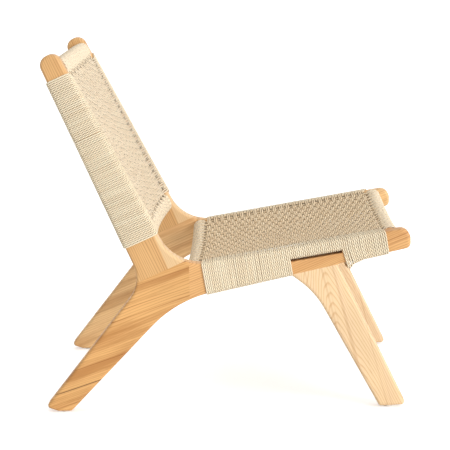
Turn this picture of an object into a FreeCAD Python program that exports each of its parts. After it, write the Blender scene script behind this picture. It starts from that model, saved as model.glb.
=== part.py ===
# Easy chair: two flat side frames of ash, each glued up from five boards, four cross rails
# between them, and a paper cord seat and back wound round the frames and woven across.
# Millimetres. +Z is up, +X is the sitter's left, the chair faces -Y.
# The side frame is drawn in its own plane: run goes forward from the heel, rise goes up from
# the floor. A post point is measured up the post and across it, from its corner on the leg.
import FreeCAD, Part
import math
import os
import Sketcher
from FreeCAD import Placement, Rotation, Vector

doc = FreeCAD.newDocument("easy_chair")

SIZES = [
    # whole chair
    ("overall_width", 620, "over the outer faces of the side frames"),
    ("frame_thickness", 38, "boards of the side frames"),
    ("edge_radius", 6.5, "rounding along every edge of a side frame"),
    ("foot_corner_radius", 7, "corners of the feet, seen from the side"),
    ("joint_corner_radius", 6, "inner corners where the front leg meets the rail"),
    # rear leg
    ("heel_height", 12, "heel corner above the floor"),
    ("heel_bevel_angle", 19, "slope of the bevel under the heel"),
    ("rear_foot_length", 28, "flat under the rear foot"),
    ("rear_leg_angle", 51.4, "back edge of the rear leg, from the floor"),
    ("rear_leg_front_angle", 45.8, "lower edge of the rear leg, from the floor"),
    ("rear_corner_radius", 72, "hollow between rear leg and post"),
    ("corner_depth", 18, "top line of the seat rail down to the corner under the post"),
    ("elbow_radius", 250, "hollow between rear leg and seat rail"),
    # back post and its wing
    ("post_lean_angle", 23.5, "back edge of the post, from upright"),
    ("post_length", 508, "corner on the leg to the top of the post"),
    ("post_top_width", 43, "post at its top"),
    ("post_foot_width", 76.5, "post at its corner, with the wing"),
    ("post_top_radius", 21, "rounded top of the post"),
    ("post_glue_height", 5.5, "glue line on the leg, above the corner"),
    ("stave_width", 63, "post board at the glue line, without the wing"),
    ("stave_top_width", 67, "post board where the wing runs out"),
    ("wing_length", 141, "wing along the post"),
    ("flare_radius", 95, "hollow between post and seat rail"),
    # seat rail
    ("elbow_overlap", 27, "elbow of the lower edges to the seat rail's glue line on the leg"),
    ("seat_angle", 9.15, "top of the seat rail, from level"),
    ("rail_under_angle", 11.95, "underside of the seat rail, from level"),
    ("rail_tip_height", 381.3, "top of the rail at its tip"),
    ("rail_tip_depth", 42.5, "rail at its tip"),
    ("rail_length", 459, "glue line on the leg to the tip"),
    ("tip_top_radius", 20, "upper corner of the tip"),
    ("tip_under_radius", 12, "lower corner of the tip"),
    ("slot_overhang", 9.2, "head of the front leg to the front end of the cord slot"),
    ("slot_length", 108.5, "cord slot over the front leg"),
    ("slot_height", 8, "cord slot"),
    ("strip_depth", 20, "wood over the cord slot"),
    # front leg
    ("front_foot_setback", 67, "tip to the back corner of the front foot"),
    ("front_foot_length", 56, "front foot"),
    ("toe_lift_height", 2.5, "toe above the back corner of the foot"),
    ("front_leg_angle", 65, "front edge of the front leg, from the floor"),
    ("front_leg_rear_angle", 61.7, "back edge of the front leg, from the floor"),
    ("leg_head_depth", 38.1, "back corner of the head to where the back edge turns"),
    ("leg_head_width", 97.5, "head of the leg along the rail"),
    ("leg_flare_radius", 180, "hollow below the head"),
    # cross rails
    ("cross_rail_depth", 38, "cross rails of the back, front to back"),
    ("seat_cross_rail_depth", 28, "cross rails of the seat, front to back"),
    ("cross_rail_height", 36, "cross rails, top to bottom"),
    ("cross_rail_radius", 12, "long edges of the cross rails"),
    ("top_rail_setback", 20, "post top to the top of the upper back rail"),
    ("top_rail_inset", 5.5, "back edge of the post to the upper back rail"),
    ("lower_rail_height", 48, "corner on the leg to the lower back rail"),
    ("lower_rail_inset", 28, "back edge of the post to the lower back rail"),
    ("lower_rail_bow_depth", 20, "backward bow of the lower back rail"),
    ("seat_bow_depth", 10, "downward bow of the seat and its two cross rails"),
    ("rear_rail_overlap", 5, "glue line on the leg to the back of the seat's rear rail"),
    ("front_rail_setback", 28, "tip to the front of the seat's front rail"),
    # cord
    ("cord_diameter", 4, "paper cord, and one layer of it"),
    ("soft_gap", 0.3, "between a woven panel and what surrounds it"),
    ("seat_wrap_inset", 25, "glue line on the leg to the first turn"),
    ("seat_wrap_setback", 51, "tip to the last turn"),
    ("seat_wrap_hang_depth", 19, "turns in front of the leg, below the rail"),
    ("seat_wrap_hang_setback", 21, "slot to the lowest of those turns"),
    ("seat_wrap_hang_width", 15, "lowest turns to the level ones"),
    ("post_wrap_overlap", 7, "turns on the post, past the underside of the upper rail"),
    # dowels, tacks and glides
    ("dowel_diameter", 10, "all dowels"),
    ("bore_clearance", 0.1, "round a dowel, tack or nail"),
    ("frame_dowel_length", 50, "dowels of post and seat rail"),
    ("post_dowel_inset", 18, "back edge of the post to the first dowel"),
    ("post_dowel_spacing", 28, "between the post's dowels"),
    ("elbow_dowel_inset", 10.5, "underside of the rail to the first dowel"),
    ("elbow_dowel_spacing", 20, "between the rail's dowels"),
    ("leg_dowel_rail_depth", 16, "leg dowels into the rail"),
    ("leg_dowel_leg_depth", 22, "leg dowels into the leg"),
    ("leg_dowel_inset", 21, "front corner of the leg's head to the first dowel"),
    ("leg_dowel_spacing", 42, "between the leg's dowels"),
    ("rail_dowel_frame_depth", 18, "cross rail dowels into the frame"),
    ("rail_dowel_depth", 22, "cross rail dowels into the rail"),
    ("rail_dowel_spacing", 15, "between the two dowels of a rail end"),
    ("tack_length", 14, "cord tack, head included"),
    ("tack_diameter", 2, "shank of a cord tack"),
    ("tack_head_diameter", 5, "head of a cord tack"),
    ("tack_head_height", 1.2, "head of a cord tack"),
    ("tack_inset", 10, "end of a wrap to its tack"),
    ("glide_height", 3, "glide under a foot"),
    ("glide_diameter", 19, "glide under a foot"),
    ("glide_nail_length", 15, "nail of a glide"),
    ("glide_nail_diameter", 2.5, "nail of a glide"),
    ("front_glide_inset", 19, "back corner of the front foot to its glide"),
]

sizes = doc.addObject("Spreadsheet::Sheet", "Sizes")
for row, (alias, value, note) in enumerate(SIZES, start=1):
    sizes.set(f"A{row}", note)
    sizes.set(f"B{row}", str(value))
    sizes.setAlias(f"B{row}", alias)
doc.recompute()


def size(alias):
    return sizes.get(alias)


def s(alias):
    return f"Sizes.{alias}"


def at(alias):
    return f"Layout.{alias}"


CORD = s("cord_diameter")


def tan_of(angle):
    return f"tan({angle} * 1 deg)"


def sin_of(angle):
    return f"sin({angle} * 1 deg)"


def cos_of(angle):
    return f"cos({angle} * 1 deg)"


class Line:
    """A straight edge of the side frame: a point on it and its angle from the floor."""

    def __init__(self, run, rise, angle):
        self.run = run
        self.rise = rise
        self.angle = angle

    def rise_at(self, run):
        return f"({self.rise} + ({run} - ({self.run})) * {tan_of(self.angle)})"

    def meet(self, other):
        slope = tan_of(self.angle)
        other_slope = tan_of(other.angle)
        return (f"(({other.rise}) - ({self.rise}) + ({self.run}) * {slope}"
                f" - ({other.run}) * {other_slope}) / ({slope} - {other_slope})")


# Worked out stations of the chair, as formulas of the sizes.

layout = doc.addObject("Spreadsheet::Sheet", "Layout")
layout_rows = []


def station(alias, formula):
    layout_rows.append(alias)
    row = len(layout_rows)
    layout.set(f"A{row}", alias)
    layout.set(f"B{row}", "=" + formula)
    layout.setAlias(f"B{row}", alias)
    return at(alias)


def number(expression):
    return float(layout.evalExpression(expression))


def post_point(up, across):
    """A point of the side frame from its distances up the post and across it."""
    run = (f"({at('corner_run')} - ({up}) * {sin_of(s('post_lean_angle'))}"
           f" + ({across}) * {cos_of(s('post_lean_angle'))})")
    rise = (f"({at('corner_rise')} + ({up}) * {cos_of(s('post_lean_angle'))}"
            f" + ({across}) * {sin_of(s('post_lean_angle'))})")
    return run, rise


def post_front(up):
    """The front edge of the post, across it, at a distance up it."""
    return (f"({s('post_foot_width')} - ({s('post_foot_width')} - {s('post_top_width')})"
            f" * ({up}) / {s('post_length')})")


def seat_point(run, forward, up):
    """A point set off along the seat's slope and square to it, from the rail's top edge."""
    across = cos_of(s("seat_angle"))
    along = sin_of(s("seat_angle"))
    return (f"({run} + ({forward}) * {across} - ({up}) * {along})",
            f"({rail_top.rise_at(run)} + ({forward}) * {along} + ({up}) * {across})")


heel_half = f"(({s('rear_leg_angle')} + {s('heel_bevel_angle')}) / 2)"
heel_turn = f"(({s('rear_leg_angle')} - {s('heel_bevel_angle')}) / 2)"
station("heel_run", f"-{s('foot_corner_radius')} * ({cos_of(heel_turn)} / {sin_of(heel_half)} - 1)")
station("foot_back_run", f"{at('heel_run')} + ({s('heel_height')} - {s('glide_height')})"
                         f" / {tan_of(s('heel_bevel_angle'))}")
station("foot_front_run", f"{at('foot_back_run')} + {s('rear_foot_length')}")
station("elbow_rise", f"{s('rail_tip_height')} - {s('rail_tip_depth')}"
                      f" - ({s('elbow_overlap')} + {s('rail_length')})"
                      f" * {tan_of(s('rail_under_angle'))}")
station("elbow_run", f"{at('foot_front_run')} + ({at('elbow_rise')} - {s('glide_height')})"
                     f" / {tan_of(s('rear_leg_front_angle'))}")
station("glue_run", f"{at('elbow_run')} + {s('elbow_overlap')}")
station("frame_depth", f"{at('glue_run')} + {s('rail_length')}")

rail_top = Line(at("frame_depth"), s("rail_tip_height"), s("seat_angle"))
rail_under = Line(at("frame_depth"), f"({s('rail_tip_height')} - {s('rail_tip_depth')})",
                  s("rail_under_angle"))
leg_back = Line(at("heel_run"), s("heel_height"), s("rear_leg_angle"))
corner_line = Line(at("frame_depth"), f"({s('rail_tip_height')} - {s('corner_depth')})",
                   s("seat_angle"))
station("corner_run", leg_back.meet(corner_line))
station("corner_rise", leg_back.rise_at(at("corner_run")))
station("post_taper", f"atan(({s('post_foot_width')} - {s('post_top_width')})"
                      f" / {s('post_length')}) / 1 deg")
post_front_edge = Line(*post_point("0", s("post_foot_width")),
                       f"(90 + {s('post_lean_angle')} + {at('post_taper')})")

station("flare_run", post_front_edge.meet(rail_top))
station("flare_rise", rail_top.rise_at(at("flare_run")))

station("front_heel_run", f"{at('frame_depth')} - {s('front_foot_setback')}")
station("toe_run", f"{at('front_heel_run')} + {s('front_foot_length')}")
station("toe_height", f"{s('glide_height')} + {s('toe_lift_height')}")
front_leg_front = Line(at("toe_run"), at("toe_height"), f"(180 - {s('front_leg_angle')})")
station("head_front_run", front_leg_front.meet(rail_under))
station("head_front_rise", rail_under.rise_at(at("head_front_run")))
station("head_back_run", f"{at('head_front_run')} - {s('leg_head_width')}")
station("head_back_rise", rail_under.rise_at(at("head_back_run")))
station("flare_turn_rise", f"{at('head_back_rise')} - {s('leg_head_depth')}")
station("flare_turn_run", f"{at('front_heel_run')} - ({at('flare_turn_rise')} - {s('glide_height')})"
                          f" / {tan_of(s('front_leg_rear_angle'))}")

station("slot_end", f"{at('head_front_run')} + {s('slot_overhang')}")
station("slot_start", f"{at('slot_end')} - {s('slot_length')}")
station("strip_start", f"{at('slot_start')} - {s('strip_depth')} * {sin_of(s('seat_angle'))}")
station("strip_end", f"{at('slot_end')} - {s('strip_depth')} * {sin_of(s('seat_angle'))}")
station("wrap_start", f"{at('glue_run')} + {s('seat_wrap_inset')}")
station("wrap_end", f"{at('frame_depth')} - {s('seat_wrap_setback')}")
station("top_rail_top", f"{s('post_length')} - {s('top_rail_setback')}")
station("top_rail_under", f"{at('top_rail_top')} - {s('cross_rail_height')}")
station("lower_rail_top", f"{s('lower_rail_height')} + {s('cross_rail_height')}")
station("post_wrap_start", f"{at('lower_rail_top')} - {s('cord_diameter')}")
station("post_wrap_end", f"{at('top_rail_under')} + {s('post_wrap_overlap')}")
station("rear_rail_run", f"{at('glue_run')} - {s('rear_rail_overlap')}")
station("front_rail_run", f"{at('frame_depth')} - {s('front_rail_setback')}"
                          f" - {s('seat_cross_rail_depth')} * {cos_of(s('seat_angle'))}")
station("inner_width", f"{s('overall_width')} - 2 * {s('frame_thickness')}")
station("side_offset", f"({s('overall_width')} - {s('frame_thickness')}) / 2")
station("half_depth", f"{at('frame_depth')} / 2")
station("wrap_round", f"{s('edge_radius')} + {s('cord_diameter')}")
station("envelope_round", f"{s('cross_rail_radius')} + {s('cord_diameter')}")
for bow, depth in (("back_bow", s("lower_rail_bow_depth")), ("seat_bow", s("seat_bow_depth"))):
    station(bow + "_radius", f"({at('inner_width')} ^ 2 / 4 + {depth} ^ 2) / (2 * {depth})")
station("front_glide_run", f"{at('front_heel_run')} + {s('front_glide_inset')}")
station("rear_glide_run", f"({at('foot_back_run')} + {at('foot_front_run')}) / 2")
doc.recompute()

# The frame's plane stands upright along the chair: run goes to -Y, rise to +Z, and the third
# direction, across the frame, to -X.
FRAME_TURN = Rotation(Vector(0, -1, 0), Vector(0, 0, 1), Vector(-1, 0, 0), "ZXY")
SIDES = {"right": -1, "left": 1}


def place(obj, side=0):
    """Stand a shape that is drawn in the frame's plane where it belongs on the chair."""
    obj.Placement = Placement(Vector(side * number(at("side_offset")), number(at("half_depth")), 0),
                              FRAME_TURN)
    obj.setExpression(".Placement.Base.y", at("half_depth"))
    if side:
        obj.setExpression(".Placement.Base.x", f"{side} * {at('side_offset')}")


def draw(sketch, points):
    """A closed outline through points given as pairs of expressions."""
    values = [(number(run), number(rise)) for run, rise in points]
    count = len(points)
    for index, (run, rise) in enumerate(values):
        next_run, next_rise = values[(index + 1) % count]
        sketch.addGeometry(Part.LineSegment(Vector(run, rise, 0), Vector(next_run, next_rise, 0)))
    for index in range(count):
        sketch.addConstraint(Sketcher.Constraint("Coincident", index, 2, (index + 1) % count, 1))
    for index, (point, value) in enumerate(zip(points, values)):
        for kind, expression, start in zip(("DistanceX", "DistanceY"), point, value):
            constraint = sketch.addConstraint(Sketcher.Constraint(kind, -1, 1, index, 1, start))
            sketch.setExpression(f"Constraints[{constraint}]", expression)


def padded_body(name, points, length):
    """A body padded evenly to both sides of the frame's plane."""
    body = doc.addObject("PartDesign::Body", name)
    plane = next(item for item in body.Origin.OriginFeatures if item.Role == "XY_Plane")
    sketch = body.newObject("Sketcher::SketchObject", name + "_outline")
    sketch.AttachmentSupport = [(plane, "")]
    sketch.MapMode = "FlatFace"
    draw(sketch, points)
    pad = body.newObject("PartDesign::Pad", name + "_pad")
    pad.Profile = sketch
    pad.Midplane = True
    pad.setExpression("Length", length)
    doc.recompute()
    return body


def round_edges(body, name, radius, wanted):
    """Fillet the edges of a body's last feature for which wanted says yes."""
    base = body.Tip
    edges = [f"Edge{index}" for index, edge in enumerate(base.Shape.Edges, start=1) if wanted(edge)]
    fillet = body.newObject("PartDesign::Fillet", name)
    fillet.Base = (base, edges)
    fillet.setExpression("Radius", radius)
    doc.recompute()
    return fillet


def crosses_at(points):
    """Edges that run square to the frame's plane through one of the given points."""
    spots = [(number(run), number(rise)) for run, rise in points]
    near = size("edge_radius") / 10

    def wanted(edge):
        start = edge.Vertexes[0].Point
        end = edge.Vertexes[-1].Point
        if math.hypot(start.x - end.x, start.y - end.y) > near:
            return False
        return any(math.hypot(start.x - run, start.y - rise) < near for run, rise in spots)
    return wanted


def on_faces(edge):
    """Edges that lie in one of the two flat sides of a padded body."""
    box = edge.BoundBox
    return box.ZMax - box.ZMin < size("edge_radius") / 10 and abs(box.ZMax) > size("edge_radius")


def joined(kind, name, base, tools):
    """A boolean of one base with one tool, or with several tools as a compound."""
    if len(tools) > 1:
        tool = doc.addObject("Part::Compound", name + "_tools")
        tool.Links = tools
    else:
        tool = tools[0]
    result = doc.addObject(kind, name)
    result.Base = base
    result.Tool = tool
    return result


# Side frame: the glued-up blank, cut to one outline and rounded along its edges.

HEEL = (at("heel_run"), s("heel_height"))
FOOT_BACK = (at("foot_back_run"), s("glide_height"))
FOOT_FRONT = (at("foot_front_run"), s("glide_height"))
ELBOW = (at("elbow_run"), at("elbow_rise"))
HEAD_BACK = (at("head_back_run"), at("head_back_rise"))
FLARE_TURN = (at("flare_turn_run"), at("flare_turn_rise"))
FRONT_HEEL = (at("front_heel_run"), s("glide_height"))
TOE = (at("toe_run"), at("toe_height"))
HEAD_FRONT = (at("head_front_run"), at("head_front_rise"))
TIP_UNDER = (at("frame_depth"), f"({s('rail_tip_height')} - {s('rail_tip_depth')})")
TIP_TOP = (at("frame_depth"), s("rail_tip_height"))
FLARE = (at("flare_run"), at("flare_rise"))
POST_TOP_FRONT = post_point(s("post_length"), s("post_top_width"))
POST_TOP_BACK = post_point(s("post_length"), "0")
CORNER = (at("corner_run"), at("corner_rise"))


def side_frame():
    blank = padded_body("side_frame", [
        HEEL, FOOT_BACK, FOOT_FRONT, ELBOW, HEAD_BACK, FLARE_TURN, FRONT_HEEL, TOE, HEAD_FRONT,
        TIP_UNDER, TIP_TOP, FLARE, POST_TOP_FRONT, POST_TOP_BACK, CORNER], s("frame_thickness"))
    for name, radius, points in [
            ("feet", "foot_corner_radius", [HEEL, FOOT_BACK, FOOT_FRONT, FRONT_HEEL, TOE]),
            ("rear_corner", "rear_corner_radius", [CORNER]),
            ("flare", "flare_radius", [FLARE]),
            ("elbow", "elbow_radius", [ELBOW]),
            ("leg_flare", "leg_flare_radius", [FLARE_TURN]),
            ("tip_top", "tip_top_radius", [TIP_TOP]),
            ("tip_under", "tip_under_radius", [TIP_UNDER]),
            ("post_top", "post_top_radius", [POST_TOP_FRONT, POST_TOP_BACK]),
            ("head_corners", "joint_corner_radius", [HEAD_BACK, HEAD_FRONT])]:
        round_edges(blank, name + "_round", s(radius), crosses_at(points))
    round_edges(blank, "frame_edges", s("edge_radius"), on_faces)
    return blank


def slot_cutter():
    """The long slot through the rail, over the front leg, that lets the cord pass."""
    start = at("slot_start")
    end = at("slot_end")
    roof = [(run, f"({rail_top.rise_at(run)} - {s('strip_depth')})") for run in (start, end)]
    floor = [(run, f"({rail_top.rise_at(run)} - {s('strip_depth')} - {s('slot_height')})")
             for run in (end, start)]
    return padded_body("cord_slot", roof + floor, f"2 * {s('frame_thickness')}")


# The five boards of a side frame, parted along their glue lines.

def board_regions():
    low = f"(-2 * {s('frame_thickness')})"
    high = f"({s('rail_tip_height')} + {s('post_length')})"
    far = f"({at('frame_depth')} + {s('frame_thickness')})"
    middle = f"({at('head_back_run')} - {s('joint_corner_radius')})"
    past_post = f"({s('post_length')} + {s('stave_width')})"
    glue_back = post_point(s("post_glue_height"), f"(-{s('stave_width')})")
    glue_wing = post_point(s("post_glue_height"), s("stave_width"))
    wing_top = post_point(f"({s('post_glue_height')} + {s('wing_length')})", s("stave_top_width"))
    glue_line = Line(*glue_wing, s("post_lean_angle"))
    glue_rail = (at("glue_run"), glue_line.rise_at(at("glue_run")))
    under_middle = (middle, rail_under.rise_at(middle))
    under_far = (far, rail_under.rise_at(far))
    return {
        "rear_leg": [(low, low), (at("glue_run"), low), glue_rail, glue_back, (low, glue_back[1])],
        "back_post": [glue_back, glue_wing, wing_top, post_point(past_post, s("stave_top_width")),
                      post_point(past_post, f"(-{s('stave_width')})")],
        "post_wing": [glue_wing, glue_rail, (at("glue_run"), wing_top[1]), wing_top],
        "seat_rail": [(at("glue_run"), low), (middle, low), under_middle, under_far, (far, high),
                      (at("glue_run"), high)],
        "front_leg": [under_middle, (middle, low), (far, low), under_far],
    }


# Round parts: dowels, tacks and glides, each with the bore that takes it.

def rod(name, start, across, angle, diameter, length):
    """A cylinder in the frame's plane, from a point, along an angle from the run."""
    cylinder = doc.addObject("Part::Cylinder", name)
    cylinder.setExpression("Radius", f"({diameter}) / 2")
    cylinder.setExpression("Height", length)
    lie_down = Rotation(Vector(0, 1, 0), 90)
    cylinder.Placement = Placement(Vector(), Rotation(Vector(0, 0, 1), number(angle)) * lie_down)
    for axis, expression in zip("xyz", (*start, across)):
        cylinder.setExpression(f".Placement.Base.{axis}", expression)
    return cylinder


def peg(name, start, across, diameter, length, inward):
    """A cylinder square to the frame's plane, from a depth in it towards one of its faces."""
    cylinder = doc.addObject("Part::Cylinder", name)
    cylinder.setExpression("Radius", f"({diameter}) / 2")
    cylinder.setExpression("Height", length)
    cylinder.Placement = Placement(Vector(), Rotation(Vector(1, 0, 0), 0 if inward > 0 else 180))
    for axis, expression in zip("xyz", (*start, across)):
        cylinder.setExpression(f".Placement.Base.{axis}", expression)
    return cylinder


def back_along(point, distance, angle):
    """A point moved against an angle from the run."""
    return (f"({point[0]} - ({distance}) * {cos_of(angle)})",
            f"({point[1]} - ({distance}) * {sin_of(angle)})")


BORE = f"(2 * {s('bore_clearance')})"


def dowel_pair(name, point, down, up, angle):
    """A dowel and its bore, through a point of a glue line."""
    length = f"({down} + {up})"
    start = back_along(point, down, angle)
    bore_start = back_along(point, f"({down} + {s('bore_clearance')})", angle)
    dowel = rod(name, start, "0", angle, s("dowel_diameter"), length)
    bore = rod(name + "_bore", bore_start, "0", angle, f"({s('dowel_diameter')} + {BORE})",
               f"({length} + {BORE})")
    return dowel, bore


def frame_dowels(side):
    """The dowels across the three glue lines of one side frame that carry load."""
    half = f"({s('frame_dowel_length')} / 2)"
    groups = {"post": [], "elbow": [], "leg": []}
    for index in range(2):
        across = f"({s('post_dowel_inset')} + {index} * {s('post_dowel_spacing')})"
        groups["post"].append(dowel_pair(f"{side}_post_dowel_{index}",
                                         post_point(s("post_glue_height"), across), half, half,
                                         f"(90 + {s('post_lean_angle')})"))
        rise = (f"({rail_under.rise_at(at('glue_run'))} + {s('elbow_dowel_inset')}"
                f" + {index} * {s('elbow_dowel_spacing')})")
        groups["elbow"].append(dowel_pair(f"{side}_elbow_dowel_{index}", (at("glue_run"), rise),
                                          half, half, "0"))
        run = (f"({at('head_front_run')} - {s('leg_dowel_inset')}"
               f" - {index} * {s('leg_dowel_spacing')})")
        groups["leg"].append(dowel_pair(f"{side}_leg_dowel_{index}", (run, rail_under.rise_at(run)),
                                        s("leg_dowel_leg_depth"), s("leg_dowel_rail_depth"),
                                        f"(90 + {s('rail_under_angle')})"))
    return groups


# Cross rails: where each one's middle lies in the frame's plane, and how it is turned.

def post_frame_corners(start, inset, grow):
    low = f"({start} - {grow})"
    high = f"({start} + {s('cross_rail_height')} + {grow})"
    back = f"({inset} - {grow})"
    front = f"({inset} + {s('cross_rail_depth')} + {grow})"
    return [post_point(low, back), post_point(low, front), post_point(high, front),
            post_point(high, back)]


def seat_frame_corners(run, grow):
    back = f"(-{grow})"
    front = f"({s('seat_cross_rail_depth')} + {grow})"
    top = grow
    under = f"(-{s('cross_rail_height')} - {grow})"
    return [seat_point(run, back, under), seat_point(run, front, under), seat_point(run, front, top),
            seat_point(run, back, top)]


def middle_of(corners):
    return tuple("(" + " + ".join(corner[axis] for corner in corners) + ") / 4" for axis in range(2))


class Bow:
    """An even bow between the side frames: its depth and radius, the angle that it goes
    against, and two points of the axis that it turns about."""

    def __init__(self, depth, radius, angle, axis):
        self.depth = depth
        self.radius = radius
        self.angle = angle
        self.axis = axis

    def middle(self, corners):
        """Corners of a section as they lie at the middle of the chair."""
        return [back_along(corner, self.depth, self.angle) for corner in corners]


BACK_AXIS = (f"({s('lower_rail_inset')} + {s('cross_rail_depth')} / 2 - {s('lower_rail_bow_depth')}"
             f" + {at('back_bow_radius')})")
SEAT_AXIS = f"({at('seat_bow_radius')} - {s('seat_bow_depth')} - {s('cross_rail_height')} / 2)"
BACK_BOW = Bow(s("lower_rail_bow_depth"), at("back_bow_radius"), s("post_lean_angle"),
               [post_point(up, BACK_AXIS) for up in (s("lower_rail_height"), at("lower_rail_top"))])
SEAT_BOW = Bow(s("seat_bow_depth"), at("seat_bow_radius"), f"(90 + {s('seat_angle')})",
               [seat_point(run, "0", SEAT_AXIS) for run in (at("rear_rail_run"), at("front_rail_run"))])
RAIL_BOWS = {"lower_back_rail": BACK_BOW, "rear_seat_rail": SEAT_BOW, "front_seat_rail": SEAT_BOW}


CROSS_RAILS = {
    "upper_back_rail": lambda grow: post_frame_corners(at("top_rail_under"), s("top_rail_inset"), grow),
    "lower_back_rail": lambda grow: post_frame_corners(s("lower_rail_height"), s("lower_rail_inset"),
                                                       grow),
    "rear_seat_rail": lambda grow: seat_frame_corners(at("rear_rail_run"), grow),
    "front_seat_rail": lambda grow: seat_frame_corners(at("front_rail_run"), grow),
}


# A bowed shape is swept a little past the side frames, then cut off square.
BOW_OVERRUN_SHARE = 1.1


def straight_rail(name, corners, radius):
    body = padded_body(name, corners, at("inner_width"))
    round_edges(body, name + "_round", radius, crosses_at(corners))
    return body


def swept_body(name, section, bow):
    """A body with a section, given at the middle of the chair, swept on the arc of a bow."""
    body = doc.addObject("PartDesign::Body", name)
    plane = next(item for item in body.Origin.OriginFeatures if item.Role == "XY_Plane")
    sketch = body.newObject("Sketcher::SketchObject", name + "_section")
    sketch.AttachmentSupport = [(plane, "")]
    sketch.MapMode = "FlatFace"
    draw(sketch, section)
    axis = sketch.addGeometry(Part.LineSegment(*[Vector(number(run), number(rise), 0)
                                                 for run, rise in bow.axis]), True)
    for point, (run, rise) in enumerate(bow.axis, start=1):
        for kind, expression in (("DistanceX", run), ("DistanceY", rise)):
            constraint = sketch.addConstraint(
                Sketcher.Constraint(kind, -1, 1, axis, point, number(expression)))
            sketch.setExpression(f"Constraints[{constraint}]", expression)
    swept = body.newObject("PartDesign::Revolution", name + "_swept")
    swept.Profile = sketch
    swept.ReferenceAxis = (sketch, ["Axis0"])
    swept.Midplane = True
    swept.setExpression("Angle", f"2 * {BOW_OVERRUN_SHARE} * asin({at('inner_width')} / 2"
                                 f" / {bow.radius}) / 1 deg")
    doc.recompute()
    return body


def cut_square(name, body, around, reach, width):
    """What lies of a swept body between two upright planes, an equal distance to both sides."""
    run, rise = middle_of(around)
    trim = padded_body(name + "_trim", [
        (f"({run} - {reach})", f"({rise} - {reach})"), (f"({run} + {reach})", f"({rise} - {reach})"),
        (f"({run} + {reach})", f"({rise} + {reach})"), (f"({run} - {reach})", f"({rise} + {reach})")],
        width)
    return joined("Part::Common", name, body, [trim])


def bowed_rail(name, corners, bow, radius):
    """A rail bowed on an arc, and cut off square where the side frames stand."""
    middle = bow.middle(corners)
    body = swept_body(name + "_arc", middle, bow)
    spots = [(number(run), number(rise)) for run, rise in middle]
    round_edges(body, name + "_round", radius, along_arc(spots))
    return cut_square(name, body, middle, f"(4 * {s('cross_rail_depth')})", at("inner_width"))


def along_arc(spots):
    """Long edges of a bowed rail: arcs that pass one of the given points half way."""
    near = size("edge_radius") / 10

    def wanted(edge):
        middle = edge.valueAt((edge.FirstParameter + edge.LastParameter) / 2)
        return any(math.hypot(middle.x - run, middle.y - rise) < near for run, rise in spots)
    return wanted


def cross_rail(name, rail, grow, radius):
    """One cross rail, or its outer shape when it is grown by the cord round it."""
    corners = CROSS_RAILS[rail](grow)
    if rail in RAIL_BOWS:
        return bowed_rail(name, corners, RAIL_BOWS[rail], radius)
    return straight_rail(name, corners, radius)


def rail_dowels(rail):
    """Two dowels in each end of a cross rail: side by side in the back, upright in the seat."""
    corners = CROSS_RAILS[rail]("0")
    middle_run, middle_rise = middle_of(corners)
    angle = s("post_lean_angle") if "back" in rail else f"(90 + {s('seat_angle')})"
    dowels = {"right": [], "left": []}
    for side, sign in (("right", 1), ("left", -1)):
        for index, step in enumerate((-1, 1)):
            shift = f"({step} * {s('rail_dowel_spacing')} / 2)"
            start = (f"({middle_run} + {shift} * {cos_of(angle)})",
                     f"({middle_rise} + {shift} * {sin_of(angle)})")
            depth = f"{sign} * ({at('inner_width')} / 2 - {s('rail_dowel_depth')})"
            bore_depth = (f"{sign} * ({at('inner_width')} / 2 - {s('rail_dowel_depth')}"
                          f" - {s('bore_clearance')})")
            length = f"({s('rail_dowel_depth')} + {s('rail_dowel_frame_depth')})"
            name = f"{rail}_{side}_dowel_{index}"
            dowel = peg(name, start, depth, s("dowel_diameter"), length, sign)
            bore = peg(name + "_bore", start, bore_depth, f"({s('dowel_diameter')} + {BORE})",
                       f"({length} + {BORE})", sign)
            dowels[side].append((dowel, bore))
    return dowels


# Cord: the turns round the frames and rails are sleeves one cord thick, and the woven seat
# and back are panels two cords thick.

def sleeve_blank(name, points, long_edges):
    """The outer shape of the turns round one stretch of a side frame."""
    body = padded_body(name + "_blank", points, f"({s('frame_thickness')} + 2 * {CORD})")
    spots = [tuple((number(start[axis]) + number(end[axis])) / 2 for axis in range(2))
             for start, end in long_edges]
    near = size("edge_radius") / 10

    def wanted(edge):
        middle = edge.valueAt((edge.FirstParameter + edge.LastParameter) / 2)
        return on_faces(edge) and any(math.hypot(middle.x - run, middle.y - rise) < near
                                      for run, rise in spots)
    round_edges(body, name + "_round", at("wrap_round"), wanted)
    return body


def turn(run):
    """Where one turn of cord lies on a seat rail: over its top, and square to it underneath."""
    under = Line(rail_under.run, f"({rail_under.rise} - {CORD})", rail_under.angle)
    square = Line(run, rail_top.rise_at(run), f"(90 + {s('seat_angle')})")
    foot = f"({square.meet(under)})"
    return seat_point(run, "0", CORD), (foot, under.rise_at(foot))


def slot_roof(run, drop):
    """A point square below the rail's top edge, at the slot's roof or a cord under it."""
    return seat_point(run, "0", f"(-{s('strip_depth')} - {drop})")


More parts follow.
